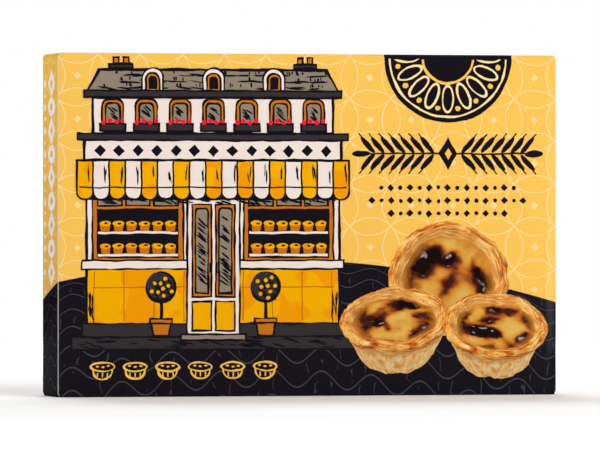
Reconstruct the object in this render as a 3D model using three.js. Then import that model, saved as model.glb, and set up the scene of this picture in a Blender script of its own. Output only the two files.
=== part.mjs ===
// A closed folding carton for six small custard tarts, standing on one of its long narrow sides.
// Millimetres. X runs to the right along the front, Y from front to back and Z up. The origin is the middle
// of the base. One blank of board wraps round the front, top, back and base, and flaps glued over one another
// shut both ends. It can't be seen into, so the full carton is one solid.

import * as THREE from 'three';
import { mergeVertices } from 'three/addons/utils/BufferGeometryUtils.js';

// The whole carton, over the swell of its large panels and over its end flaps.
const WIDTH = 240;
const DEPTH = 38;
const HEIGHT = 160;

// The board, its folds and its cut edges.
const BOARD = 0.5;
const FOLD_RADIUS = 0.9;
const CUT_LEAN = 0.05; // a cut edge leans over by this much across the board's thickness

// The front and back panels swell a little in the middle, and roll back where they come to an end fold.
const SWELL = 0.5;
const ROLL = 0.25;
const ROLL_WIDTH = 6;

// The outer flap of each end hangs on the front panel and lies one board above the flaps under it.
const FLAP_SHORT_OF_TOP = 1.4; // and of the base
const FLAP_SHORT_OF_BACK = 1.8;

// How finely each stretch is divided.
const FOLD_STEPS = 2; // from the middle of a fold to its end
const ROLL_STEPS = 3;
const PANEL_CELLS = { width: 12, depth: 2, height: 8 };

const COATED_BOARD = { color: 0xf9c357, roughness: 0.5, metalness: 0 };

// Half the size between the folds' outer sides. The swell is what makes the rest of the depth.
const half = new THREE.Vector3(WIDTH / 2, DEPTH / 2 - SWELL, HEIGHT / 2);

// Where the outer flap's cut edges are, and where the back panel's upper cut edge is.
const flapTop = half.z - FLAP_SHORT_OF_TOP;
const flapBack = half.y - FLAP_SHORT_OF_BACK;
const foldStart = half.clone().subScalar(FOLD_RADIUS);

/** Values from a to b in equal steps, both included. */
function steps(a, b, count) {
  return Array.from({ length: count + 1 }, (_, i) => a + ((b - a) * i) / count);
}

/** Distances out from the start of a fold that divide its turn into equal angles. */
function foldLines() {
  return steps(0, Math.PI / 4, FOLD_STEPS).map((angle) => FOLD_RADIUS * Math.tan(angle));
}

/** All the lines, from low to high, that divide the box along one axis. Each is listed once. */
function inOrder(...lists) {
  return [...new Set(lists.flat())].sort((a, b) => a - b);
}

/** The same lines on both sides of the middle. */
function bothSides(lines) {
  return [...lines.map((v) => -v), ...lines];
}

const rollStart = half.x - ROLL_WIDTH;
const lines = {
  x: inOrder(
    steps(-rollStart, rollStart, PANEL_CELLS.width),
    bothSides(steps(rollStart, foldStart.x, ROLL_STEPS)),
    bothSides(foldLines().map((v) => foldStart.x + v)),
  ),
  y: inOrder(
    steps(-foldStart.y, flapBack, PANEL_CELLS.depth),
    [flapBack + CUT_LEAN],
    bothSides(foldLines().map((v) => foldStart.y + v)),
  ),
  z: inOrder(
    steps(-flapTop, flapTop, PANEL_CELLS.height),
    bothSides([flapTop + CUT_LEAN]),
    [foldStart.z - CUT_LEAN],
    bothSides(foldLines().map((v) => foldStart.z + v)),
  ),
};

/** The line that a coordinate of the unit box stands for. */
function lineAt(axisLines, unit) {
  return axisLines[Math.round((unit + 0.5) * (axisLines.length - 1))];
}

/** Pulls a point of the sharp box in to the round of the folds. */
function roundFolds(point) {
  const inside = point.clone().clamp(foldStart.clone().negate(), foldStart);
  return point.clone().sub(inside).setLength(FOLD_RADIUS).add(inside);
}

/** Whatever of an end isn't the outer flap lies one board lower, its folds with it. */
function lowerUnderFlaps(point, from) {
  const atEnd = Math.abs(from.x) >= foldStart.x;
  const onOuterFlap = from.y <= flapBack && Math.abs(from.z) <= flapTop;
  if (atEnd && !onOuterFlap) point.x -= Math.sign(from.x) * BOARD;
}

/** The glue lap folds down from the top and runs inside the back panel, so its fold lies one board lower. */
function lowerGlueLap(point, from) {
  if (from.y >= foldStart.y && from.z >= foldStart.z) point.y -= BOARD;
}

/** How far the large panels stand out from the line of their folds. */
function swellAt({ x, z }) {
  const bow = (1 - (x / half.x) ** 2) * (1 - (z / half.z) ** 2);
  const intoRoll = Math.max(0, Math.abs(x) - rollStart) / ROLL_WIDTH;
  return SWELL * bow - ROLL * intoRoll ** 2;
}

/** The whole outside of the carton, as one closed surface. */
function cartonGeometry() {
  const cells = (axisLines) => axisLines.length - 1;
  const geometry = new THREE.BoxGeometry(1, 1, 1, cells(lines.x), cells(lines.y), cells(lines.z));
  const position = geometry.attributes.position;
  const unit = new THREE.Vector3();
  for (let i = 0; i < position.count; i++) {
    unit.fromBufferAttribute(position, i);
    const from = new THREE.Vector3(lineAt(lines.x, unit.x), lineAt(lines.y, unit.y), lineAt(lines.z, unit.z));
    const point = roundFolds(from);
    point.y *= 1 + swellAt(from) / half.y;
    lowerUnderFlaps(point, from);
    lowerGlueLap(point, from);
    position.setXYZ(i, point.x, point.y, point.z);
  }
  geometry.deleteAttribute('normal');
  geometry.deleteAttribute('uv');
  const closed = mergeVertices(geometry);
  closed.computeVertexNormals();
  return closed;
}

const carton = new THREE.Mesh(cartonGeometry(), new THREE.MeshStandardMaterial(COATED_BOARD));
carton.name = 'carton';
carton.position.set(0, 0, half.z);

const part = new THREE.Group();
part.add(carton);

export default part;
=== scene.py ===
import math
import random

import bmesh
import bpy
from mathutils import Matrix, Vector


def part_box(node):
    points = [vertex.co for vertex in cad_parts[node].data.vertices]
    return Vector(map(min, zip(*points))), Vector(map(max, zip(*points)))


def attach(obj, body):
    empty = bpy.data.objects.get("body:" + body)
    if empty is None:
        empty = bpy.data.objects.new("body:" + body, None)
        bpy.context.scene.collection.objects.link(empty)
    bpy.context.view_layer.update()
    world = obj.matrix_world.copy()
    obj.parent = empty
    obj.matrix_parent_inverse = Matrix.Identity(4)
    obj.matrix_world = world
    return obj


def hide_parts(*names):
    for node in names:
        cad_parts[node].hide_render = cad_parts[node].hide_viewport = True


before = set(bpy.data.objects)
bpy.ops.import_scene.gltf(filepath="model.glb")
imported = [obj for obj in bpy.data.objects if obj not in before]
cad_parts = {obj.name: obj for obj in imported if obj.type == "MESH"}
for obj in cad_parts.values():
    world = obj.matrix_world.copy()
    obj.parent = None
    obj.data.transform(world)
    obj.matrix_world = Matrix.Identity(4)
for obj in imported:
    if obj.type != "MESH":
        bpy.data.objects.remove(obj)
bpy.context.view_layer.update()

bpy.ops.object.select_all(action="DESELECT")

# ---------------------------------------------------------------------------------------------------------
# The board. One blank of white boxboard, printed and varnished on its outer side, is scored, folded round
# the tray and glued. Its folds are round, its large panels swell a little, and where a sheet ends its white
# core shows as a cut edge. Sizes are in millimetres until a piece is finished and taken to metres.
MM = 0.001
low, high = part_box("carton")
WIDTH, DEPTH, HEIGHT = (high - low) / MM
BOARD = 0.5
FOLD_RADIUS = 0.9
FOLD_SEGMENTS = 6
SWELL = 0.5
ROLL = 0.25
ROLL_WIDTH = 6
ROLL_STEPS = 3
FLAP_SHORT_OF_TOP = 1.4
FLAP_SHORT_OF_BACK = 1.8
CUT_LEAN = 0.05
GRID = 20
HAIR = 0.01
SMOOTH_BELOW = math.radians(35)

fold_x, fold_y = WIDTH / 2 - BOARD, DEPTH / 2 - SWELL
flap_back = fold_y - FLAP_SHORT_OF_BACK
flap_foot, flap_top = FLAP_SHORT_OF_TOP, HEIGHT - FLAP_SHORT_OF_TOP
panel_top = HEIGHT - FOLD_RADIUS
fold_start = FOLD_RADIUS + HAIR
cells_wide, cells_high = round(WIDTH / GRID), round(HEIGHT / GRID)
roll_start = WIDTH / 2 - ROLL_WIDTH
roll_run = fold_x - FOLD_RADIUS - roll_start
roll_lines = [roll_start + roll_run * i / ROLL_STEPS for i in range(ROLL_STEPS)]


def pick(test, kind="verts"):
    """Selects just those vertices or faces of the mesh in edit mode whose place passes the test."""
    bpy.ops.mesh.select_all(action="DESELECT")
    mesh = bmesh.from_edit_mesh(bpy.context.object.data)
    for item in getattr(mesh, kind):
        item.select_set(test(item.co if kind == "verts" else item.calc_center_median()))
    mesh.select_flush_mode()
    bmesh.update_edit_mesh(bpy.context.object.data)


def slice_at(axis, places):
    """Cuts all faces of the mesh in edit mode along planes across an axis."""
    normal = [axis == i for i in range(3)]
    for place in places:
        bpy.ops.mesh.select_all(action="SELECT")
        bpy.ops.mesh.bisect(plane_co=[place * n for n in normal], plane_no=normal)


bpy.ops.mesh.primitive_cube_add(size=1, location=(0, 0, HEIGHT / 2))
board = bpy.context.object
board.name = "carton_board"
board.scale = (2 * fold_x, 2 * fold_y, HEIGHT)
bpy.ops.object.transform_apply(location=True, rotation=True, scale=True)
bpy.ops.object.mode_set(mode="EDIT")
bpy.ops.mesh.bevel(offset=FOLD_RADIUS, segments=FOLD_SEGMENTS, profile=0.5, affect="EDGES")
slice_at(0, [i * GRID for i in range(1 - cells_wide // 2, cells_wide // 2)])
slice_at(0, [side * x for side in (-1, 1) for x in roll_lines])
slice_at(1, [0, flap_back, flap_back + CUT_LEAN])
slice_at(2, [i * GRID for i in range(1, cells_high)])
slice_at(2, [flap_foot - CUT_LEAN, flap_foot, flap_top, flap_top + CUT_LEAN, panel_top - CUT_LEAN])

# The outer end flaps hang on the front panel and lie one board above the flaps that they cover.
for side in (-1, 1):
    pick(
        lambda co: side * co.x > fold_x - fold_start
        and co.y < flap_back + HAIR
        and flap_foot - HAIR < co.z < flap_top + HAIR
    )
    bpy.ops.transform.translate(value=(side * BOARD, 0, 0))

# The glue lap folds down from the top and runs inside the back panel, one board lower.
pick(lambda co: co.y > fold_y - fold_start and co.z > HEIGHT - fold_start)
bpy.ops.transform.translate(value=(0, -BOARD, 0))

# The large panels roll back towards the end folds, in steps that grow as a square.
for i in range(1, ROLL_STEPS + 1):
    line = roll_lines[i] if i < ROLL_STEPS else fold_x - FOLD_RADIUS
    pick(lambda co: abs(co.x) > line - HAIR)
    drop = ROLL * (2 * i - 1) / ROLL_STEPS**2
    bpy.ops.transform.resize(value=(1, 1 - drop / fold_y, 1), center_override=(0, 0, 0))

bpy.ops.mesh.select_all(action="SELECT")
bpy.ops.uv.cube_project(cube_size=GRID, correct_aspect=False)
bpy.ops.object.mode_set(mode="OBJECT")

# A cage of five by two by five points holds the swell, for the board and for the print on it.
bpy.ops.object.add(type="LATTICE", location=(0, 0, HEIGHT / 2 * MM))
cage = bpy.context.object
cage.scale = (WIDTH * MM, 2 * fold_y * MM, HEIGHT * MM)
cage.data.points_u, cage.data.points_v, cage.data.points_w = 5, 2, 5
cage.data.interpolation_type_u = cage.data.interpolation_type_w = "KEY_CATMULL_ROM"
cage.data.interpolation_type_v = "KEY_LINEAR"
for point in cage.data.points:
    x, y, z = point.co
    bow = (1 - (2 * x) ** 2) * (1 - (2 * z) ** 2)
    point.co_deform.y = y + math.copysign(SWELL / (2 * fold_y) * bow, y)


def to_metres(piece):
    """Takes a piece from millimetres to metres, with its place in its mesh."""
    piece.location = [MM * c for c in piece.location]
    piece.scale = (MM, MM, MM)
    bpy.ops.object.select_all(action="DESELECT")
    piece.select_set(True)
    bpy.context.view_layer.objects.active = piece
    bpy.ops.object.transform_apply(location=True, rotation=True, scale=True)


def follow_swell(piece):
    """Lets a piece, already in metres, follow the swell of the large panels."""
    bpy.context.view_layer.objects.active = piece
    bpy.ops.object.modifier_add(type="LATTICE")
    piece.modifiers[-1].object = cage
    bpy.ops.object.modifier_apply(modifier=piece.modifiers[-1].name)


to_metres(board)
follow_swell(board)
bpy.ops.object.shade_smooth_by_angle(angle=SMOOTH_BELOW)


def srgb(red, green, blue):
    """A printed colour, named by its 0 to 255 screen values, as the linear colour that shaders take."""
    steps = (c / 255 for c in (red, green, blue))
    return (*(c / 12.92 if c <= 0.04045 else ((c + 0.055) / 1.055) ** 2.4 for c in steps), 1)


AMBER = srgb(249, 195, 87)
BLACK = srgb(23, 20, 27)
LINE_YELLOW = srgb(252, 222, 160)
PAVING_GREY = srgb(72, 70, 76)
BOARD_WHITE = srgb(236, 232, 222)


def wire(tree, kind, inputs=(), **settings):
    """Adds a node, sets it, and feeds its inputs from sockets or plain values. Gives its first output."""
    node = tree.nodes.new(kind)
    for name, value in settings.items():
        setattr(node, name, value)
    for key, value in dict(inputs).items():
        if isinstance(value, bpy.types.NodeSocket):
            tree.links.new(value, node.inputs[key])
        else:
            node.inputs[key].default_value = value
    return node.outputs[0]


def calc(tree, operation, *values):
    """A Math node on those values."""
    return wire(tree, "ShaderNodeMath", dict(enumerate(values)), operation=operation)


def mixed(tree, share, first, second):
    """The first colour, going over to the second as share goes from 0 to 1."""
    wire(tree, "ShaderNodeMix", {0: share, 6: first, 7: second}, data_type="RGBA")
    return tree.nodes[-1].outputs[2]


def edge(tree, value, at, width):
    """0 below a value, 1 above it, with a soft edge of that width. A negative width turns it round."""
    start, end = at - width / 2, at + width / 2
    return wire(tree, "ShaderNodeMapRange", {"Value": value, "From Min": start, "From Max": end})


def noise(tree, place, scale, detail, **more):
    """A cloudy pattern, so fine and so detailed. Where W is given, it changes with that as well."""
    inputs = {"Vector": place, "Scale": scale, "Detail": detail, **more}
    return wire(tree, "ShaderNodeTexNoise", inputs, noise_dimensions="4D" if "W" in more else "3D")


def new_finish(name):
    """A plain new material, its node tree, and the place on the object in millimetres."""
    material = bpy.data.materials.new(name)
    material.use_nodes = True
    tree = material.node_tree
    place = tree.nodes.new("ShaderNodeTexCoord").outputs["Object"]
    millimetres = wire(tree, "ShaderNodeVectorMath", {0: place, "Scale": 1 / MM}, operation="SCALE")
    return material, tree, millimetres


FIBRE_TONE, CLOUD_TONE = 0.05, 0.04
INK_ROUGHNESS, FIBRE_ROUGHNESS = 0.42, 0.12


def varnish(tree, place, colour):
    """Prints the colour, never quite even, on board whose fibres show through a thin varnish."""
    shader = tree.nodes["Principled BSDF"]
    fibre = noise(tree, place, 1.6, 5.0, Roughness=0.7)
    cloud = noise(tree, place, 0.05, 3.0)
    shade = calc(tree, "MULTIPLY_ADD", fibre, FIBRE_TONE, 1 - (FIBRE_TONE + CLOUD_TONE) / 2)
    shade = calc(tree, "MULTIPLY_ADD", cloud, CLOUD_TONE, shade)
    tone = wire(tree, "ShaderNodeHueSaturation", {"Value": shade, "Color": colour})
    tree.links.new(tone, shader.inputs["Base Color"])
    rough = calc(tree, "MULTIPLY_ADD", fibre, FIBRE_ROUGHNESS, INK_ROUGHNESS)
    tree.links.new(rough, shader.inputs["Roughness"])
    bump = wire(tree, "ShaderNodeBump", {"Height": fibre, "Strength": 0.12, "Distance": 0.02 * MM})
    tree.links.new(bump, shader.inputs["Normal"])
    shader.inputs["Specular IOR Level"].default_value = 0
    shader.inputs["Coat Weight"].default_value = 0.03
    shader.inputs["Coat Roughness"].default_value = 0.16
    shader.inputs["Coat IOR"].default_value = 1.7


# The two fields of the print: amber with a fine tile pattern above, near-black paving below. Their border
# is a flat arc that runs on round the ends and along the back.
FIELD_CROWN, FIELD_CROWN_X, FIELD_ARC, FIELD_SOFT = 64, -20, 480, 0.15
printed, tree, place = new_finish("printed_board")
wire(tree, "ShaderNodeSeparateXYZ", {"Vector": place})
x, y, z = tree.nodes[-1].outputs
past_front = calc(tree, "ADD", y, fold_y)
round_end = calc(tree, "MULTIPLY", x, calc(tree, "MULTIPLY_ADD", past_front, 1 / fold_x, 1))
from_crown = calc(tree, "SUBTRACT", round_end, FIELD_CROWN_X)
dip = calc(tree, "DIVIDE", calc(tree, "MULTIPLY", from_crown, from_crown), 2 * FIELD_ARC)
above_border = calc(tree, "SUBTRACT", calc(tree, "ADD", z, dip), FIELD_CROWN)
upper = edge(tree, above_border, at=0, width=FIELD_SOFT)

# A traditional tile pattern: overlapping circles about the corners of square tiles, with a small lozenge
# at each corner. These sizes are in tiles.
TILE_WOBBLE, TILE_LINE, TILE_LOZENGE, TILE_SOFT = 0.07, 0.5 / GRID, 0.09, 0.01
TILE_STRENGTH = 0.8
uv = wire(tree, "ShaderNodeUVMap")
noise(tree, place, 0.09, 1.0)
drift = {0: tree.nodes[-1].outputs["Color"], 1: (TILE_WOBBLE, TILE_WOBBLE, 0), 2: uv}
uv = wire(tree, "ShaderNodeVectorMath", drift, operation="MULTIPLY_ADD")
wire(tree, "ShaderNodeSeparateXYZ", {"Vector": uv})
across, up = tree.nodes[-1].outputs[0:2]
fold_across = calc(tree, "PINGPONG", across, 0.5)
fold_up = calc(tree, "PINGPONG", up, 0.5)


def circle_line(near, far):
    """The line of a circle about the next tile corner along, in tiles."""
    away = calc(tree, "SUBTRACT", 1, near)
    squares = calc(tree, "ADD", calc(tree, "MULTIPLY", away, away), calc(tree, "MULTIPLY", far, far))
    off = calc(tree, "ABSOLUTE", calc(tree, "SUBTRACT", calc(tree, "SQRT", squares), math.sqrt(0.5)))
    return edge(tree, off, at=TILE_LINE / 2, width=-TILE_SOFT)


from_corner = calc(tree, "ADD", fold_across, fold_up)
lozenge = edge(tree, from_corner, at=TILE_LOZENGE, width=-TILE_SOFT)
lines = calc(tree, "MAXIMUM", circle_line(fold_across, fold_up), circle_line(fold_up, fold_across))
lines = calc(tree, "MAXIMUM", lines, lozenge)
amber_field = mixed(tree, calc(tree, "MULTIPLY", lines, TILE_STRENGTH), AMBER, LINE_YELLOW)

# Waves of paving, closer together towards the border, as ground seen from low down. Rows are counted from
# the border.
PAVING_WAVE, WAVE_RISE, WAVE_LINE, WAVE_STRENGTH = 24, 0.35, 0.035, 0.8
ROW_CROWDING, ROW_COUNT, ROW_SOFT = 0.7, 0.42, 0.02
wave = calc(tree, "SINE", calc(tree, "MULTIPLY", round_end, 2 * math.pi / PAVING_WAVE))
below_border = calc(tree, "MAXIMUM", calc(tree, "MULTIPLY", above_border, -1), HAIR)
rows = calc(tree, "MULTIPLY", calc(tree, "POWER", below_border, ROW_CROWDING), ROW_COUNT)
rows = calc(tree, "MULTIPLY_ADD", wave, WAVE_RISE, rows)
off_row = calc(tree, "PINGPONG", rows, 0.5)
paving = calc(tree, "MULTIPLY", edge(tree, off_row, at=WAVE_LINE, width=-ROW_SOFT), WAVE_STRENGTH)

# Between the waves, here and there, a short upright stroke for the joint of two stones.
STONE, STONE_SHIFT, STONE_STRAY = 7, 0.37, 1.6
JOINT_LINE, JOINT_STRENGTH = 0.5, 0.7
worn = noise(tree, place, 0.1, 2.0)
stones = calc(tree, "MULTIPLY", round_end, 1 / STONE)
stones = calc(tree, "MULTIPLY_ADD", calc(tree, "FLOOR", rows), STONE_SHIFT, stones)
stones = calc(tree, "MULTIPLY_ADD", worn, STONE_STRAY, stones)
off_joint = calc(tree, "PINGPONG", stones, 0.5)
joint = edge(tree, off_joint, at=JOINT_LINE / STONE / 2, width=-ROW_SOFT)
between_rows = edge(tree, off_row, at=0.2, width=0.06)
here = calc(tree, "MULTIPLY", edge(tree, worn, at=0.52, width=0.04), between_rows)
joint = calc(tree, "MULTIPLY", calc(tree, "MULTIPLY", joint, here), JOINT_STRENGTH)
paving = calc(tree, "MAXIMUM", paving, joint)
black_field = mixed(tree, paving, BLACK, PAVING_GREY)
fields = mixed(tree, upper, black_field, amber_field)

# The rosette under the front's top fold bleeds over it.
ORNAMENT_X, ROSETTE_RADIUS = 67, 31
BLEED = 0.3
from_rosette = calc(tree, "ABSOLUTE", calc(tree, "SUBTRACT", x, ORNAMENT_X))
over_rosette = calc(tree, "LESS_THAN", from_rosette, ROSETTE_RADIUS)
on_fold = calc(tree, "LESS_THAN", y, FOLD_RADIUS - fold_y)
bleed = calc(tree, "MULTIPLY", over_rosette, calc(tree, "GREATER_THAN", z, panel_top - BLEED))
fields = mixed(tree, calc(tree, "MULTIPLY", bleed, on_fold), fields, BLACK)

# Round the fold left of the front the ink goes unevenly to the board's white: wear and a painted highlight.
wire(tree, "ShaderNodeSeparateXYZ", {"Vector": tree.nodes.new("ShaderNodeTexCoord").outputs["Normal"]})
facing_x, facing_y = tree.nodes[-1].outputs[0:2]
upright_fold = edge(tree, calc(tree, "MULTIPLY", facing_x, facing_y), at=0.4, width=0.16)
left_fold = calc(tree, "MULTIPLY", upright_fold, calc(tree, "LESS_THAN", x, 0))
FOLD_PALE_LEAST, FOLD_PALE_MORE = 0.35, 0.4
patchy = noise(tree, place, 0.6, 4.0)
# The paler line on this fold is partly worn ink and partly a painted highlight along the crease.
scuff_and_highlight = calc(tree, "MULTIPLY", left_fold, calc(tree, "MULTIPLY_ADD", patchy, FOLD_PALE_MORE, FOLD_PALE_LEAST))
varnish(tree, place, mixed(tree, scuff_and_highlight, fields, BOARD_WHITE))

# The cut edge of the board: pale, matt and fibrous.
core, tree, place = new_finish("board_core")
grain = noise(tree, place, 4.0, 4.0)
core_shader = tree.nodes["Principled BSDF"]
tree.links.new(mixed(tree, grain, srgb(205, 198, 184), BOARD_WHITE), core_shader.inputs["Base Color"])
core_shader.inputs["Roughness"].default_value = 0.9

board.data.materials.append(printed)
board.data.materials.append(core)


def on_cut_edge(centre):
    """Whether a face is one of the strips that a flap or the back panel ends in."""
    x, y, z = (c / MM for c in centre)
    top_or_foot = flap_foot - CUT_LEAN < z < flap_foot or flap_top < z < flap_top + CUT_LEAN
    behind = flap_back - ROLL - HAIR < y < flap_back + CUT_LEAN - ROLL + HAIR
    at_end = abs(x) > fold_x - HAIR and (top_or_foot or behind)
    at_back = y > fold_y - BOARD and panel_top - CUT_LEAN < z < panel_top
    return at_end or at_back


bpy.ops.object.mode_set(mode="EDIT")
bpy.ops.mesh.select_mode(type="FACE")
pick(on_cut_edge, "faces")
board.active_material_index = 1
bpy.ops.object.material_slot_assign()
bpy.ops.mesh.select_mode(type="VERT")
bpy.ops.object.mode_set(mode="OBJECT")
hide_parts("carton")
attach(board, "root")

# ---------------------------------------------------------------------------------------------------------
# The pastry shop, printed in flat inks. Black is laid first, and the colours over it a line's width
# smaller. The layers are drawn far apart and pressed to the board at the end, so that the hand's wobble
# differs from layer to layer and the black outlines swell and thin as a pen's do.
LINE, BOLD_LINE = 0.9, 1.3
LAYERS_APART, LAYER_PRESSED, FILM = 10, 0.012, 0.05
HAND_GRID = 2.5
CORNER_SEGMENTS = 6


def unsteady(name, reach):
    """A wobble that pulls points about, alike for points nearer than its reach."""
    wobble = bpy.data.textures.new(name, "CLOUDS")
    wobble.noise_scale = reach
    wobble.cloud_type = "COLOR"
    return wobble


def shake(piece, wobble, strength):
    """Pulls the points of a piece about by a wobble."""
    bpy.context.view_layer.objects.active = piece
    bpy.ops.object.modifier_add(type="DISPLACE")
    pull = piece.modifiers[-1]
    pull.texture = wobble
    pull.texture_coords = "LOCAL"
    pull.direction = "RGB_TO_XYZ"
    pull.strength = strength
    bpy.ops.object.modifier_apply(modifier=pull.name)


HAND, HAND_WOBBLE = unsteady("hand", 8), 1.1
NIB, NIB_WOBBLE = unsteady("nib", 1.5), 0.35


def ink(name, colour, patches=None):
    """A printing ink, in places brushed over with a second tone."""
    material, tree, place = new_finish(name)
    if patches:
        brush = noise(tree, place, 0.055, 2.0)
        colour = mixed(tree, edge(tree, brush, at=0.53, width=0.03), colour, patches)
    varnish(tree, place, colour)
    return material


black_ink = ink("black_ink", BLACK)
cream_ink = ink("cream_ink", srgb(240, 225, 215))
yellow_ink = ink("yellow_ink", srgb(246, 174, 1), srgb(243, 155, 5))
taupe_ink = ink("taupe_ink", srgb(145, 131, 113))
rust_ink = ink("rust_ink", srgb(200, 115, 25))
stone_ink = ink("stone_ink", srgb(53, 49, 50))
red_ink = ink("red_ink", srgb(255, 25, 50))


def start_sheet(name, *inks):
    """Opens a sheet of print, still empty, in edit mode."""
    bpy.ops.object.select_all(action="DESELECT")
    bpy.ops.object.add(type="MESH")
    sheet = bpy.context.object
    sheet.name = name
    for colour in inks:
        sheet.data.materials.append(colour)
    bpy.ops.object.mode_set(mode="EDIT")


def field(colour, layer, x, z, width, height, turn=0, corners=0):
    """Lays a field of ink: a rectangle, or the shape of so many corners that fills one."""
    sheet = bpy.context.object
    centre = (x, -layer * LAYERS_APART, z)
    upright = (math.pi / 2, 0, 0)
    if corners:
        bpy.ops.mesh.primitive_circle_add(
            vertices=corners, radius=0.5, fill_type="NGON", location=centre, rotation=upright
        )
    else:
        bpy.ops.mesh.primitive_plane_add(size=1, location=centre, rotation=upright)
    bpy.ops.transform.resize(value=(width, 1, height), center_override=centre)
    if turn:
        bpy.ops.transform.rotate(value=math.radians(turn), orient_axis="Y", center_override=centre)
    sheet.active_material_index = sheet.data.materials.find(colour.name)
    bpy.ops.object.material_slot_assign()


def keep_corners(lower):
    """Keeps only the upper or lower corners of the field just laid selected, and tells its width."""
    mesh = bmesh.from_edit_mesh(bpy.context.object.data)
    corners = [v for v in mesh.verts if v.select]
    middle = sum(v.co.z for v in corners) / len(corners)
    width = max(v.co.x for v in corners) - min(v.co.x for v in corners)
    for v in corners:
        v.select_set((v.co.z < middle) == lower)
    mesh.select_flush_mode()
    return width


def round_off(share=0.45, lower=False):
    """Rounds the two upper or lower corners of the field just laid."""
    width = keep_corners(lower)
    bpy.ops.mesh.bevel(offset=width * share, affect="VERTICES", segments=CORNER_SEGMENTS)


def lean_in(share, x):
    """Draws the upper corners of the field just laid in towards x, or out from it by a share over 1."""
    keep_corners(lower=False)
    bpy.ops.transform.resize(value=(share, 1, 1), center_override=(x, 0, 0))


def drawn(colour, layer, x, z, width, height, line=LINE, arch=0, lean=0):
    """Lays a field of colour on a black one that shows round it as its outline."""
    for tone, level, inset in ((black_ink, layer, 0), (colour, layer + 1, 2 * line)):
        field(tone, level, x, z, width - inset, height - inset)
        if arch:
            round_off(arch)
        if lean:
            lean_in(lean, x)


def press(turn=0, tip=0, out=None):
    """Wobbles the open sheet and presses its layers together on the front, or on the panel that it is
    turned or tipped to, which lies so far out. Then parts it into one plate for each ink."""
    sheet = bpy.context.object
    for axis in (0, 2):
        places = [v.co[axis] for v in bmesh.from_edit_mesh(sheet.data).verts]
        first, last = math.ceil(min(places) / HAND_GRID), math.floor(max(places) / HAND_GRID)
        slice_at(axis, [i * HAND_GRID for i in range(first, last + 1)])
    bpy.ops.object.mode_set(mode="OBJECT")
    for wobble, strength in ((HAND, HAND_WOBBLE), (NIB, NIB_WOBBLE)):
        shake(sheet, wobble, strength)
    bpy.ops.object.mode_set(mode="EDIT")
    bpy.ops.mesh.select_all(action="SELECT")
    bpy.ops.transform.resize(value=(1, LAYER_PRESSED / LAYERS_APART, 1), center_override=(0, 0, 0))
    bpy.ops.transform.translate(value=(0, -(out or fold_y) - FILM, 0))
    bpy.ops.object.mode_set(mode="OBJECT")
    bpy.ops.object.modifier_add(type="SOLIDIFY")
    film = sheet.modifiers[-1]
    film.thickness = FILM
    bpy.ops.object.modifier_apply(modifier=film.name)
    sheet.rotation_euler = (math.radians(tip), 0, math.radians(turn))
    to_metres(sheet)
    if not out:
        follow_swell(sheet)
    name = sheet.name
    bpy.ops.object.mode_set(mode="EDIT")
    bpy.ops.mesh.select_all(action="SELECT")
    bpy.ops.mesh.separate(type="MATERIAL")
    bpy.ops.object.mode_set(mode="OBJECT")
    for plate in bpy.context.selected_objects:
        plate.name = f"{name}_{plate.data.materials[0].name}"
        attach(plate, "root")


SHOP_X, SHOP_WIDTH = -46, 122
STROKE_SLANT, STROKE_STRAY = 52, 14
chance = random.Random(6)


def strokes(colour, layer, x, z, width, height, count, length, slant=STROKE_SLANT):
    """Scribbles pen strokes over a place, up to so long, thick in the middle and thin at both ends."""
    for i in range(count):
        stroke_x = x + (chance.random() - 0.5) * width
        stroke_z = z + (chance.random() - 0.5) * height
        reach = length * (0.5 + 0.5 * chance.random())
        thick = 0.5 + 0.6 * chance.random()
        turn = slant + STROKE_STRAY * (chance.random() - 0.5)
        field(colour, layer + 0.1 * i, stroke_x, stroke_z, thick, reach, turn=turn, corners=6)


def spaced(count, step, middle):
    """Places in a row, so many and so far apart, about a middle."""
    return [middle + (i - (count - 1) / 2) * step for i in range(count)]


start_sheet("pastry_shop", black_ink, cream_ink, yellow_ink, taupe_ink, rust_ink, stone_ink, red_ink)

# The ground, the lower wall with its plinth and seams, and the wall above it with a sill between them.
GROUND_Z, PLINTH_Z, LOWER_WALL_Z, SILL_Z, UPPER_WALL_Z = 25, 31, 46, 61.5, 84
SEAMS, SEAM_STEP, SEAM_LINE = 9, SHOP_WIDTH / 8.6, 0.6
drawn(stone_ink, 0, SHOP_X, GROUND_Z, SHOP_WIDTH + 14, 7)
strokes(black_ink, 2, SHOP_X, GROUND_Z, SHOP_WIDTH + 4, 5, count=50, length=9, slant=82)
drawn(yellow_ink, 0, SHOP_X, LOWER_WALL_Z, SHOP_WIDTH, 36, line=BOLD_LINE)
drawn(cream_ink, 2, SHOP_X, UPPER_WALL_Z, SHOP_WIDTH, 48, line=BOLD_LINE)
drawn(stone_ink, 2, SHOP_X, PLINTH_Z, SHOP_WIDTH + 4, 7)
for seam_x in spaced(SEAMS, SEAM_STEP, SHOP_X):
    field(rust_ink, 2, seam_x, LOWER_WALL_Z + 1, SEAM_LINE, 23)
field(rust_ink, 2.5, SHOP_X, LOWER_WALL_Z + 5, SHOP_WIDTH - 6, SEAM_LINE)
for side in (-1, 1):
    wall_end = SHOP_X + side * (SHOP_WIDTH / 2 - 3)
    strokes(black_ink, 3, wall_end, LOWER_WALL_Z - 5, 2.4, 10, count=7, length=11, slant=4)
drawn(cream_ink, 4, SHOP_X, SILL_Z, SHOP_WIDTH + 4, 5)

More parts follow.
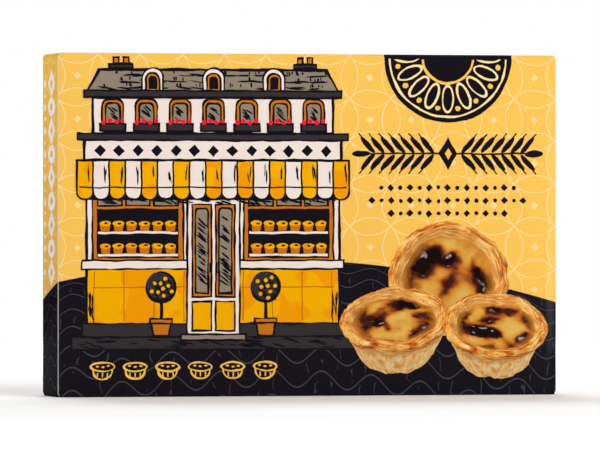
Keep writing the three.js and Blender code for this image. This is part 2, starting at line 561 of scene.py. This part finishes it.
# Two shop windows: small lights above, and below them shelves of tarts in front of the dark inside.
WINDOW_OUT, WINDOW_WIDTH, WINDOW_Z = 36, 44, 83
LIGHTS, SHELVES, SHELF_TARTS, SHELF_TART_STEP = 3, (66, 76.5), 6, 6.2
light_width = (WINDOW_WIDTH - 4) / LIGHTS
for window_x in (SHOP_X - WINDOW_OUT, SHOP_X + WINDOW_OUT):
    drawn(rust_ink, 4, window_x, WINDOW_Z, WINDOW_WIDTH, 40)
    for light_x in spaced(LIGHTS, light_width, window_x):
        drawn(taupe_ink, 6, light_x, WINDOW_Z + 12, light_width - 1, 13, arch=0.2)
        strokes(black_ink, 8, light_x, WINDOW_Z + 10.5, light_width - 5, 5, count=8, length=6)
    field(black_ink, 6, window_x, WINDOW_Z - 7, WINDOW_WIDTH - 5, 23)
    for shelf_z in SHELVES:
        field(cream_ink, 7, window_x, shelf_z, WINDOW_WIDTH - 6, 1.1)
        for tart_x in spaced(SHELF_TARTS, SHELF_TART_STEP, window_x):
            field(rust_ink, 8, tart_x, shelf_z + 2.4, 3.8, 3.6)
            lean_in(1.3, tart_x)
            field(yellow_ink, 9, tart_x, shelf_z + 4.2, 5.4, 2.6, corners=16)
            field(black_ink, 10, tart_x + 0.5, shelf_z + 4.3, 2, 1, corners=8)

# The door, with two leaves, a step, and a clipped orange tree in a pot on either side.
DOOR_Z, LEAF_OUT, LEAF_WIDTH, STEP_Z = 63, 5.6, 10, 27.6
drawn(cream_ink, 6, SHOP_X, DOOR_Z, 26, 70)
for side in (-1, 1):
    leaf_x = SHOP_X + side * LEAF_OUT
    drawn(rust_ink, 8, leaf_x, DOOR_Z + 5, LEAF_WIDTH, 44)
    drawn(taupe_ink, 10, leaf_x, DOOR_Z + 5, LEAF_WIDTH - 3, 40.5, arch=0.25)
    strokes(black_ink, 12, leaf_x, DOOR_Z + 6, 1.6, 32, count=30, length=7)
    drawn(yellow_ink, 8, leaf_x, DOOR_Z - 25.5, LEAF_WIDTH, 14.5)
    field(black_ink, 12, SHOP_X + side * 1.6, DOOR_Z - 3, 0.9, 5)
drawn(taupe_ink, 10, SHOP_X, STEP_Z, 32, 3.6)
TREE_OUT, TREE_BALL, TREE_Z, POT_Z = 25, 15, 51, 31.5
ORANGES, ORANGES_REACH, GOLDEN_ANGLE = 9, 5.6, 137.5
for side in (-1, 1):
    tree_x = SHOP_X + side * TREE_OUT
    field(black_ink, 8, tree_x, TREE_Z - 12, 1.6, 14)
    field(black_ink, 9, tree_x, TREE_Z, TREE_BALL, TREE_BALL, corners=20)
    field(stone_ink, 10, tree_x - 0.5, TREE_Z + 0.5, TREE_BALL - 2.4, TREE_BALL - 2.4, corners=20)
    strokes(black_ink, 11, tree_x + 1, TREE_Z - 1, 7, 7, count=16, length=6, slant=30)
    for i in range(ORANGES):
        way = math.radians(GOLDEN_ANGLE * i + 40 * side)
        reach = ORANGES_REACH * math.sqrt((i + 0.3) / ORANGES)
        orange_x, orange_z = tree_x + reach * math.cos(way), TREE_Z + reach * math.sin(way)
        field(yellow_ink, 14, orange_x, orange_z, 1.9, 1.9, corners=8)
    drawn(rust_ink, 14, tree_x, POT_Z, 8, 7, lean=1.3)
    drawn(rust_ink, 16, tree_x, POT_Z + 3.7, 11.5, 3)

# The awning: striped, each stripe rounded at its hem, with its shade on the wall under it.
STRIPES, AWNING_TOP, AWNING_HEM = 17, 110, 92
stripe_width = (SHOP_WIDTH + 8) / STRIPES
awning_z, awning_height = (AWNING_TOP + AWNING_HEM) / 2, AWNING_TOP - AWNING_HEM
field(black_ink, 13, SHOP_X, AWNING_HEM + 3, SHOP_WIDTH - 2, 7)
strokes(black_ink, 13.5, SHOP_X, AWNING_HEM - 0.5, SHOP_WIDTH - 8, 3, count=60, length=8, slant=78)
for i, stripe_x in enumerate(spaced(STRIPES, stripe_width, SHOP_X)):
    stripe_ink = (yellow_ink, cream_ink)[i % 2]
    for colour, layer, line in ((black_ink, 22 + i % 2, -LINE / 2), (stripe_ink, 24, LINE / 2)):
        field(colour, layer, stripe_x, awning_z, stripe_width - 2 * line, awning_height - 2 * line)
        round_off(lower=True)
    strokes(black_ink, 25, stripe_x + 2, AWNING_TOP - 6, 1, 4, count=2, length=9, slant=2)
field(black_ink, 25, SHOP_X, AWNING_HEM + 5.5, SHOP_WIDTH + 6, 0.7)

# The fascia with its lozenges, the cornice, and the upper floor with a box of flowers at each window.
FASCIA_Z, FASCIA_LOZENGES, FASCIA_STEP, CORNICE_Z = 115, 13, 9, 121
UPPER_FLOOR_Z, UPPER_WINDOWS, UPPER_STEP = 131, 7, 16
BOX_Z, FLOWERS, FLOWER_STEP, FLOWERS_Z = 125.4, 4, 3, 127.8
drawn(cream_ink, 4, SHOP_X, FASCIA_Z, SHOP_WIDTH + 2, 11, line=BOLD_LINE)
for lozenge_x in spaced(FASCIA_LOZENGES, FASCIA_STEP, SHOP_X):
    field(black_ink, 6, lozenge_x, FASCIA_Z - 0.4, 5.5, 5.5, corners=4)
drawn(stone_ink, 6, SHOP_X, CORNICE_Z, SHOP_WIDTH + 8, 4)
drawn(cream_ink, 0, SHOP_X, UPPER_FLOOR_Z, SHOP_WIDTH - 6, 18, line=BOLD_LINE)
for window_x in spaced(UPPER_WINDOWS, UPPER_STEP, SHOP_X):
    drawn(rust_ink, 8, window_x, UPPER_FLOOR_Z + 0.5, 11, 15, arch=0.3)
    drawn(taupe_ink, 10, window_x, UPPER_FLOOR_Z + 0.2, 7.8, 12, arch=0.3)
    strokes(black_ink, 12, window_x, UPPER_FLOOR_Z + 0.5, 2.5, 6, count=8, length=6)
    drawn(stone_ink, 14, window_x, BOX_Z, 13, 4.4)
    for i, flower_x in enumerate(spaced(FLOWERS, FLOWER_STEP, window_x)):
        field(red_ink, 16, flower_x, FLOWERS_Z + 0.7 * (i % 2), 2.3, 2.3, corners=7)

# The roof: a steep slope of slates with three dormers, between two chimneys with pots.
EAVES_Z, ROOF_Z, CHIMNEY_Z, CHIMNEY_OUT = 141, 147, 149.5, 44
SLATE_ROWS, SLATE_STEP, DORMERS, DORMER_STEP = 3, 2.9, 3, 29
for side in (-1, 1):
    chimney_x = SHOP_X + side * CHIMNEY_OUT
    for pot in (-2.4, 2.4):
        drawn(rust_ink, 0, chimney_x + pot, CHIMNEY_Z + 6.5, 3.4, 5)
    drawn(stone_ink, 2, chimney_x, CHIMNEY_Z, 10, 12)
    drawn(stone_ink, 4, chimney_x, CHIMNEY_Z + 4.5, 12, 2.6)
drawn(taupe_ink, 6, SHOP_X, ROOF_Z, SHOP_WIDTH, 12, line=BOLD_LINE, lean=0.9)
for row in range(SLATE_ROWS):
    layer, slate_z = 8 + 4 * row, ROOF_Z - 3.2 + SLATE_STEP * row
    strokes(black_ink, layer, SHOP_X, slate_z, SHOP_WIDTH - 20, 0.7, count=16, length=12, slant=89)
    slate_z += 1.3
    strokes(black_ink, layer + 2, SHOP_X, slate_z, SHOP_WIDTH - 14, 0.5, count=24, length=2.6, slant=6)
for dormer_x in spaced(DORMERS, DORMER_STEP, SHOP_X):
    drawn(cream_ink, 27, dormer_x, ROOF_Z + 0.4, 11, 12, arch=0.45)
    drawn(rust_ink, 29, dormer_x, ROOF_Z - 0.4, 7.4, 9, arch=0.45)
    field(black_ink, 31, dormer_x, ROOF_Z - 0.8, 4.2, 6)
    round_off(0.4)
drawn(stone_ink, 32, SHOP_X, EAVES_Z, SHOP_WIDTH + 2, 4)
press()

# ---------------------------------------------------------------------------------------------------------
# The ornaments on the amber field: a half rosette that hangs from the top fold, two ears of wheat laid end
# to end, and rows of small lozenges under them. All are plain black ink, the rosette with light inks on it.
amber_ink = ink("amber_ink", AMBER)
pale_ink = ink("pale_ink", LINE_YELLOW)
RINGS = ((black_ink, 1), (pale_ink, 0.93), (black_ink, 0.9), (amber_ink, 0.42), (black_ink, 0.38))
PETALS, PETALS_AWAY, DOTS_AWAY, DOT = 9, 0.64, 0.8, 2.6
LIGHT_INK_SHORT = 1.2


def rosette(x):
    """Draws a half rosette under the top fold."""
    for ring, (colour, reach) in enumerate(RINGS):
        across = 2 * reach * ROSETTE_RADIUS
        field(colour, 2 * ring, x, panel_top, across, across, corners=64)
    for i in range(PETALS):
        way = math.pi * (1 + i / (PETALS - 1))
        away = PETALS_AWAY * ROSETTE_RADIUS
        petal_x, petal_z = x + away * math.cos(way), panel_top + away * math.sin(way)
        for colour, layer, length, width in ((pale_ink, 10, 13.5, 6), (black_ink, 11, 11, 4.2)):
            field(colour, layer, petal_x, petal_z, length, width, turn=math.degrees(way), corners=16)
        between = way + math.pi / (PETALS - 1) / 2
        away = DOTS_AWAY * ROSETTE_RADIUS
        dot_x, dot_z = x + away * math.cos(between), panel_top + away * math.sin(between)
        field(amber_ink, 12, dot_x, dot_z, DOT, DOT, corners=10)
    # It is cut off at the fold, the light inks a little sooner, so that no sliver of them is left.
    sheet = bpy.context.object
    bpy.ops.mesh.select_all(action="DESELECT")
    for light_ink in (pale_ink, amber_ink):
        sheet.active_material_index = sheet.data.materials.find(light_ink.name)
        bpy.ops.object.material_slot_select()
    light_end = (0, 0, panel_top - LIGHT_INK_SHORT)
    bpy.ops.mesh.bisect(plane_co=light_end, plane_no=(0, 0, 1), clear_outer=True)
    bpy.ops.mesh.select_all(action="SELECT")
    bpy.ops.mesh.bisect(plane_co=(0, 0, panel_top), plane_no=(0, 0, 1), clear_outer=True)


GRAINS, GRAIN_STEP, GRAIN_SLANT = 7, 4.8, 48
STEM_OUT, STEM_LENGTH, TIP_OUT = 21, 34, 42


def wheat_ears(x, z):
    """Draws two ears of wheat that lie end to end, a lozenge between them."""
    field(black_ink, 0, x, z, 9, 15, corners=4)
    field(amber_ink, 1, x, z, 3.2, 5.4, corners=4)
    for side in (-1, 1):
        field(black_ink, 1, x + side * STEM_OUT, z, STEM_LENGTH, 0.8)
        for i in range(GRAINS):
            grain_x = x + side * (10 + GRAIN_STEP * i)
            for up in (-1, 1):
                slant = side * up * GRAIN_SLANT
                field(black_ink, 2, grain_x, z + up * 4, 10, 2.6, turn=slant, corners=14)
                field(black_ink, 3, grain_x + side * 3, z + up * 8, 4, 0.6, turn=slant)
        field(black_ink, 2, x + side * TIP_OUT, z, 9, 3.2, corners=14)


LOZENGE_STEP = 4.6
LOZENGE, ROW_DOT = (3.4, 4), (2, 10)


def lozenge_row(x, z, count):
    """Draws a row of lozenges and dots by turns."""
    for i, lozenge_x in enumerate(spaced(count, LOZENGE_STEP, x)):
        size, corners = (LOZENGE, ROW_DOT)[(i + count // 2) % 2]
        field(black_ink, 0, lozenge_x, z, size, size, corners=corners)


start_sheet("rosette", black_ink, pale_ink, amber_ink)
rosette(ORNAMENT_X)
press()

WHEAT_Z, LOZENGE_ROWS = 113.5, ((97.5, 15), (91.5, 17), (85.5, 13))
start_sheet("wheat", black_ink, amber_ink)
wheat_ears(ORNAMENT_X, WHEAT_Z)
for row_z, count in LOZENGE_ROWS:
    lozenge_row(ORNAMENT_X, row_z, count)
press()

# ---------------------------------------------------------------------------------------------------------
# Six small tarts in amber outline on the black field, for the six that the carton holds. Each is a shell
# and a rim in amber with smaller black shapes over them, and dabs for its folds and its scorched spots.
ICONS, ICON_STEP, ICON_Z, ROW_X = 6, 15.5, 12, -60


def tart_row(x):
    """Draws the row of six, its middle at x."""
    for icon_x in spaced(ICONS, ICON_STEP, x):
        field(amber_ink, 0, icon_x, ICON_Z - 1, 10, 6)
        round_off(lower=True)
        field(black_ink, 1, icon_x, ICON_Z - 0.8, 8.4, 4.6)
        round_off(lower=True)
        field(amber_ink, 2, icon_x, ICON_Z + 2, 12, 4.8, corners=24)
        field(black_ink, 3, icon_x, ICON_Z + 2, 10.2, 3.2, corners=24)
        for i in (-1, 0, 1):
            field(amber_ink, 4, icon_x + 2.6 * i, ICON_Z + 2 + 0.4 * abs(i), 1.6, 0.9, corners=8)
            field(amber_ink, 4, icon_x + 2.4 * i, ICON_Z - 1.6, 0.6, 2)


start_sheet("tart_row", amber_ink, black_ink)
tart_row(ROW_X)
press()

# ---------------------------------------------------------------------------------------------------------
# The end panels: a column of bold white figures on the outer flap, towards the front, and a thin one behind
# it. They are flat shapes of white ink, and the bold ones have an amber middle.
COLUMN_FOOT, COLUMN_TOP, COLUMN_STEP = 58, 146, 11
BOLD_OUT, THIN_OUT = 4, 11
figures = int((COLUMN_TOP - COLUMN_FOOT) / COLUMN_STEP) + 1
white_ink = ink("white_ink", srgb(250, 248, 244))
for side, name in ((-1, "left_end"), (1, "right_end")):
    start_sheet(name, white_ink, amber_ink)
    for i in range(figures):
        figure_z = COLUMN_TOP - i * COLUMN_STEP
        corners, height, middle = ((4, 13, 5), (16, 9, 3.6))[i % 2]
        field(white_ink, 0, side * -BOLD_OUT, figure_z, 16, height, corners=corners)
        field(amber_ink, 1, side * -BOLD_OUT, figure_z, 6, middle, corners=corners)
    for i in range(2 * figures - 1):
        size, corners = ((5, 4), (2.4, 10))[i % 2]
        figure_z = COLUMN_TOP - i * COLUMN_STEP / 2
        field(white_ink, 0, side * THIN_OUT, figure_z, size, size * 0.8, corners=corners)
    press(turn=side * 90, out=WIDTH / 2)

# ---------------------------------------------------------------------------------------------------------
# The back and the top, printed in the same inks: on the back the ornaments again about a bare ruled panel,
# and on the top the wheat between rows of lozenges.
PANEL_Z, PANEL_WIDTH, PANEL_HEIGHT, PANEL_CORNER = 79, 196, 52, 5
FRAME = ((black_ink, 0), (cream_ink, 2 * LINE), (black_ink, 7), (cream_ink, 9))
PANEL_RULES, RULE_STEP, BACK_WHEAT_Z, BACK_ROW_Z = 6, 6.4, 127, 112
start_sheet("back", black_ink, cream_ink, taupe_ink, amber_ink, pale_ink)
rosette(0)
for side in (-1, 1):
    wheat_ears(side * ORNAMENT_X, BACK_WHEAT_Z)
    lozenge_row(side * ORNAMENT_X, BACK_ROW_Z, 15)
for layer, (tone, inset) in enumerate(FRAME):
    field(tone, layer, 0, PANEL_Z, PANEL_WIDTH - inset, PANEL_HEIGHT - inset)
    bpy.ops.mesh.bevel(offset=PANEL_CORNER, affect="VERTICES", segments=CORNER_SEGMENTS)
for rule_z in spaced(PANEL_RULES, RULE_STEP, PANEL_Z):
    field(taupe_ink, 5, 0, rule_z, PANEL_WIDTH - 20, 0.6)
tart_row(0)
press(turn=180)

TOP_ROWS_OUT, TOP_ROWS = 82, (-6, 0, 6)
start_sheet("top", black_ink, amber_ink)
wheat_ears(0, 0)
for side in (-1, 1):
    for row_y in TOP_ROWS:
        lozenge_row(side * TOP_ROWS_OUT, row_y, 13)
press(tip=-90, out=HEIGHT)

# ---------------------------------------------------------------------------------------------------------
# The three printed tarts. Each is modelled as the real tart, a flared shell of puff pastry with a rolled
# rim round a scorched custard, and its points carry their place on it and the light there. What faces the
# front is then pressed flat on the panel, as a picture of it is.
TART_ACROSS, TART_SIDES = 75, 120
# The shell from its foot up the wall, over the rim and down to the custard: radius and height of each ring.
TART_RINGS = (
    (22, 0), (24.5, 1), (26, 3), (28, 8), (30, 13), (31.5, 17.5), (33, 21), (35, 23.5),
    (37, 25.5), (37.5, 27.5), (37, 29.2), (35.8, 30.4), (34, 31), (32.2, 30.6), (30.6, 29.4),
    (29.5, 27.8), (28.6, 26.6), (26, 27), (22, 27.5), (17, 27.9), (12, 28.1), (8, 28.2), (4, 28.3),
)
RIM_FOOT, CUSTARD_RADIUS = 23, 28.8
TART_PRESSED = 0.002
LIGHT_WAY, SHADE, LIGHT = Vector((-0.5, -0.5, 0.7)).normalized(), 0.75, 0.33
BATCH_APART, BAKING_APART = 37, 100
LUMPS, LUMPS_STRENGTH = unsteady("pastry_lumps", 14), 4
FLAKES, FLAKES_STRENGTH = unsteady("pastry_flakes", 4), 1.7


def ramp(tree, value, *stops):
    """A run of colours, each given with the value that it stands at."""
    run = wire(tree, "ShaderNodeValToRGB", {0: value})
    elements = tree.nodes[-1].color_ramp.elements
    while len(elements) < len(stops):
        elements.new(1)
    for element, (at, colour) in zip(elements, stops):
        element.position = at
        element.color = colour
    return run


def carried(tree, name, output):
    """What the points of a tart carry under a name."""
    wire(tree, "ShaderNodeAttribute", attribute_name=name)
    return tree.nodes[-1].outputs[output]


tart_inks, tree, place = new_finish("tart_inks")
spot, batch = carried(tree, "on_tart", "Vector"), carried(tree, "batch", "Fac")
wire(tree, "ShaderNodeSeparateXYZ", {"Vector": spot})
tart_x, tart_y, tart_z = tree.nodes[-1].outputs
squares = calc(tree, "MULTIPLY_ADD", tart_x, tart_x, calc(tree, "MULTIPLY", tart_y, tart_y))
radius = calc(tree, "SQRT", squares)

# Pastry bakes in leaves that run round the shell: noise that is slow round it and quick across it.
ROUND_SHELL, ACROSS_SHELL, UP_SHELL = 2.4, 0.7, 0.8
way_x = calc(tree, "MULTIPLY", calc(tree, "DIVIDE", tart_x, radius), ROUND_SHELL)
way_y = calc(tree, "MULTIPLY", calc(tree, "DIVIDE", tart_y, radius), ROUND_SHELL)
over_rim = calc(tree, "MULTIPLY", calc(tree, "MULTIPLY_ADD", tart_z, UP_SHELL, radius), ACROSS_SHELL)
leaf = wire(tree, "ShaderNodeCombineXYZ", {0: way_x, 1: way_y, 2: over_rim})
leaves = noise(tree, leaf, 1.3, 6.0, Roughness=0.62)
blotch = noise(tree, spot, 0.075, 3.0)
TOASTING, INNER_BAND, UNDER_RIM_SHADE = -0.1, 0.4, 0.4
on_rim = edge(tree, tart_z, at=RIM_FOOT, width=5)
toasted = calc(tree, "MULTIPLY", edge(tree, blotch, at=0.52, width=0.16), on_rim)
crust = ramp(
    tree,
    calc(tree, "MULTIPLY_ADD", toasted, TOASTING, leaves),
    (0.26, srgb(112, 44, 20)),
    (0.34, srgb(158, 70, 24)),
    (0.42, srgb(208, 114, 38)),
    (0.49, srgb(232, 158, 68)),
    (0.56, srgb(246, 194, 108)),
    (0.66, srgb(254, 226, 158)),
)
inner_band = calc(tree, "MULTIPLY", edge(tree, radius, at=32.5, width=-4), INNER_BAND)
crust = mixed(tree, inner_band, crust, srgb(240, 190, 106))

# The wall under the rim is paler and crumbly, and darker close under the rim, a painted shade in the tart's
# picture.
drawn_up = wire(tree, "ShaderNodeVectorMath", {0: spot, 1: (1, 1, 0.45)}, operation="MULTIPLY")
crumb = noise(tree, drawn_up, 0.3, 6.0, Roughness=0.6)
wall = ramp(
    tree,
    crumb,
    (0.34, srgb(226, 138, 62)),
    (0.44, srgb(248, 186, 106)),
    (0.53, srgb(255, 216, 148)),
    (0.64, srgb(255, 240, 200)),
)
wall = mixed(tree, 0.3, wall, crust)
# Painted shade: the wall goes towards a dark brown just under the rim, where the lip shades it.
under_rim_shade = calc(tree, "MULTIPLY", edge(tree, tart_z, at=RIM_FOOT - 4, width=5), UNDER_RIM_SHADE)
wall = mixed(tree, under_rim_shade, wall, srgb(150, 84, 36))
crust = mixed(tree, on_rim, wall, crust)

# Custard scorches in spots of uneven size, black in the middle and brown round it.
WANDER, HEAT_SPREAD, HEAT_START = 10.0, 1.6, 0.19
noise(tree, spot, 0.13, 1.0, W=batch)
wander = {0: tree.nodes[-1].outputs["Color"], "Scale": WANDER}
strayed = wire(tree, "ShaderNodeVectorMath", wander, operation="SCALE")
strayed = wire(tree, "ShaderNodeVectorMath", {0: strayed, 1: spot}, operation="ADD")
spots = {"Vector": strayed, "W": batch, "Scale": 0.07, "Smoothness": 0.35}
from_spot = wire(tree, "ShaderNodeTexVoronoi", spots, voronoi_dimensions="4D", feature="SMOOTH_F1")
heat = noise(tree, spot, 0.045, 1.0, W=batch)
scorch = calc(tree, "SUBTRACT", calc(tree, "MULTIPLY_ADD", heat, HEAT_SPREAD, HEAT_START), from_spot)
custard = ramp(
    tree,
    scorch,
    (0.0, srgb(224, 178, 92)),
    (0.24, srgb(216, 158, 58)),
    (0.36, srgb(200, 120, 40)),
    (0.44, srgb(150, 72, 30)),
    (0.52, srgb(78, 32, 18)),
    (0.64, srgb(24, 11, 12)),
)

# The darkest spots shine here and there, and the custard browns where it meets the shell.
SHINE, BROWNING, RAGGED_BROWN, RAGGED_SHELL = 0.48, 0.75, 5, 1.6
gleam = edge(tree, noise(tree, spot, 0.2, 0.0, Distortion=0.7), at=0.7, width=0.07)
gleam = calc(tree, "MULTIPLY", gleam, edge(tree, scorch, at=0.6, width=0.08))
shine = calc(tree, "MULTIPLY", gleam, edge(tree, radius, at=CUSTARD_RADIUS - 5, width=-2))
custard = mixed(tree, calc(tree, "MULTIPLY", shine, SHINE), custard, srgb(220, 206, 206))
ragged = calc(tree, "MULTIPLY_ADD", leaves, RAGGED_BROWN, radius)
baked_edge = edge(tree, ragged, at=CUSTARD_RADIUS - 0.5, width=5)
custard = mixed(tree, calc(tree, "MULTIPLY", baked_edge, BROWNING), custard, srgb(206, 128, 44))

# The shell starts at an uneven line round the custard, and the picture is lit as the tart is.
to_shell = calc(tree, "MULTIPLY_ADD", leaves, RAGGED_SHELL, radius)
past_custard = edge(tree, to_shell, at=CUSTARD_RADIUS + 0.8, width=0.5)
below_custard = edge(tree, tart_z, at=RIM_FOOT + 1, width=-0.5)
food = mixed(tree, calc(tree, "MAXIMUM", past_custard, below_custard), custard, crust)
lit = carried(tree, "tart_light", "Fac")
food = wire(tree, "ShaderNodeHueSaturation", {"Value": lit, "Color": food})
varnish(tree, place, food)


def printed_tart(name, x, z, across, tip, turn, baking, layer):
    """Models a tart, tips its top to the front and turns it, and prints what shows of it."""
    bpy.ops.object.select_all(action="DESELECT")
    bpy.ops.mesh.primitive_circle_add(vertices=TART_SIDES, radius=TART_RINGS[0][0], fill_type="NOTHING")
    piece = bpy.context.object
    piece.name = name
    piece.data.materials.append(tart_inks)
    bpy.ops.object.mode_set(mode="EDIT")
    bpy.ops.mesh.select_all(action="SELECT")
    for (last_radius, last_height), (ring_radius, ring_height) in zip(TART_RINGS, TART_RINGS[1:]):
        grow = ring_radius / last_radius
        bpy.ops.mesh.extrude_edges_move(TRANSFORM_OT_translate={"value": (0, 0, ring_height - last_height)})
        bpy.ops.transform.resize(value=(grow, grow, 1), center_override=(0, 0, 0))
    bpy.ops.mesh.edge_face_add()
    bpy.ops.mesh.select_all(action="SELECT")
    bpy.ops.mesh.normals_make_consistent(inside=False)
    bpy.ops.mesh.quads_convert_to_tris()
    bpy.ops.object.mode_set(mode="OBJECT")

    # Where each point is on the tart, and which baking it is, so that no two tarts are scorched alike.
    attributes = piece.data.attributes
    attributes.new("on_tart", "FLOAT_VECTOR", "POINT")
    attributes.new("batch", "FLOAT", "POINT")
    for v in piece.data.vertices:
        attributes["on_tart"].data[v.index].vector = v.co
        attributes["batch"].data[v.index].value = baking * BATCH_APART
    piece.location = (baking * BAKING_APART, 0, 0)
    bpy.ops.object.transform_apply(location=True, rotation=False, scale=False)
    for wobble, strength in ((LUMPS, LUMPS_STRENGTH), (FLAKES, FLAKES_STRENGTH)):
        shake(piece, wobble, strength)
    piece.location = (-baking * BAKING_APART, 0, 0)
    bpy.ops.object.transform_apply(location=True, rotation=False, scale=False)
    size = across / TART_ACROSS
    piece.scale = (size, size, size)
    piece.rotation_euler = (math.radians(tip), math.radians(turn), 0)
    bpy.ops.object.transform_apply(location=False, rotation=True, scale=True)
    shade = piece.data.attributes.new("tart_light", "FLOAT", "POINT")
    for v, normal in zip(piece.data.vertices, piece.data.vertex_normals):
        facing = max(0, normal.vector.dot(LIGHT_WAY))
        shade.data[v.index].value = SHADE + LIGHT * facing

    # What faces away from the front is left out, and the rest is pressed flat and laid on.
    bpy.ops.object.mode_set(mode="EDIT")
    bpy.ops.mesh.select_mode(type="FACE")
    bpy.ops.mesh.select_all(action="DESELECT")
    mesh = bmesh.from_edit_mesh(piece.data)
    for face in mesh.faces:
        face.select_set(face.normal.y > 0)
    bpy.ops.mesh.delete(type="FACE")
    bpy.ops.mesh.select_mode(type="VERT")
    bpy.ops.mesh.select_all(action="SELECT")
    bpy.ops.transform.resize(value=(1, TART_PRESSED, 1), center_override=(0, 0, 0))
    bpy.ops.transform.translate(value=(x, -fold_y - layer * LAYER_PRESSED, z))
    bpy.ops.object.mode_set(mode="OBJECT")
    bpy.ops.object.modifier_add(type="SOLIDIFY")
    film = piece.modifiers[-1]
    film.thickness = FILM
    bpy.ops.object.modifier_apply(modifier=film.name)
    to_metres(piece)
    follow_swell(piece)
    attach(piece, "root")


printed_tart("tart_print_back", x=66, z=46, across=58, tip=66, turn=10, baking=1, layer=10)
printed_tart("tart_print_left", x=42, z=19, across=53, tip=32, turn=-3, baking=2, layer=24)
printed_tart("tart_print_right", x=89, z=17, across=51, tip=35, turn=4, baking=3, layer=38)

# ---------------------------------------------------------------------------------------------------------
# The studio: a pale table that glows far from the carton, so that it runs into the white behind it. Soft
# boxes stand above the front and the back and two small lamps low down, and the camera is a little to the
# left at half height.
TABLE_RADIUS, TABLE_TONE = 1.5, 0.97
GLOW, GLOW_AT, GLOW_SOFT = 0.5, 750, 800
bpy.ops.mesh.primitive_circle_add(vertices=96, radius=TABLE_RADIUS, fill_type="NGON", location=(0, 0, 0))
table = bpy.context.object
table.name = "table"
table_top, tree, place = new_finish("table_top")
table_shader = tree.nodes["Principled BSDF"]
table_shader.inputs["Base Color"].default_value = (TABLE_TONE, TABLE_TONE, TABLE_TONE, 1)
table_shader.inputs["Roughness"].default_value = 0.9
table_shader.inputs["Specular IOR Level"].default_value = 0
wire(tree, "ShaderNodeVectorMath", {0: place}, operation="LENGTH")
from_middle = tree.nodes[-1].outputs["Value"]
glow = calc(tree, "MULTIPLY", edge(tree, from_middle, at=GLOW_AT, width=GLOW_SOFT), GLOW)
tree.links.new(glow, table_shader.inputs["Emission Strength"])
table_shader.inputs["Emission Color"].default_value = (1, 1, 1, 1)
table.data.materials.append(table_top)

CAMERA_TURN = math.radians(-13.5)
CAMERA_AWAY = 3.2
CAMERA_LENS = 408
bpy.ops.object.camera_add(
    location=(CAMERA_AWAY * math.sin(CAMERA_TURN), -CAMERA_AWAY * math.cos(CAMERA_TURN), HEIGHT / 2 * MM),
    rotation=(math.pi / 2, 0, CAMERA_TURN),
)
camera = bpy.context.object
camera.data.lens = CAMERA_LENS
camera.data.clip_end = 100
bpy.context.scene.camera = camera


def soft_light(name, turn, height, away, size, watts):
    """A soft box that looks at the middle of the carton from so far round, so high up and so far away."""
    place = (away * math.sin(math.radians(turn)), -away * math.cos(math.radians(turn)), height)
    bpy.ops.object.light_add(type="AREA", location=place)
    light = bpy.context.object
    light.name = name
    light.data.shape = "RECTANGLE"
    light.data.size, light.data.size_y = size
    light.data.energy = watts
    tilt = math.atan2(height - HEIGHT / 2 * MM, away)
    light.rotation_euler = (math.pi / 2 - tilt, 0, math.radians(turn))
    light.visible_camera = False


soft_light("front_box", turn=19, height=1.8, away=2.45, size=(1.6, 1.6), watts=47.3)
soft_light("rear_box", turn=175, height=2.25, away=2.05, size=(1.4, 1.4), watts=53)
soft_light("edge_strip", turn=28.5, height=0.07, away=1.07, size=(0.105, 0.12), watts=1.1)
soft_light("end_lamp", turn=-92, height=0.17, away=0.24, size=(0.06, 0.06), watts=0.036)

# The camera sees white all round, but a grey dome lights the carton, dim at the sides and brighter above.
DOME_SIDE, DOME_TOP = (0.03, 0.03, 0.03, 1), (0.35, 0.35, 0.35, 1)
world = bpy.data.worlds.new("studio")
bpy.context.scene.world = world
world.use_nodes = True
sky = world.node_tree
background = sky.nodes["Background"]
wire(sky, "ShaderNodeSeparateXYZ", {"Vector": wire(sky, "ShaderNodeTexCoord")})
height = sky.nodes[-1].outputs[2]
dome = mixed(sky, edge(sky, height, at=0.3, width=0.5), DOME_SIDE, DOME_TOP)
seen = wire(sky, "ShaderNodeLightPath")
sky.links.new(mixed(sky, seen, dome, (1, 1, 1, 1)), background.inputs["Color"])
background.inputs["Strength"].default_value = 1.0

bpy.context.scene.view_settings.view_transform = "Standard"

bpy.data.objects.remove(cage)
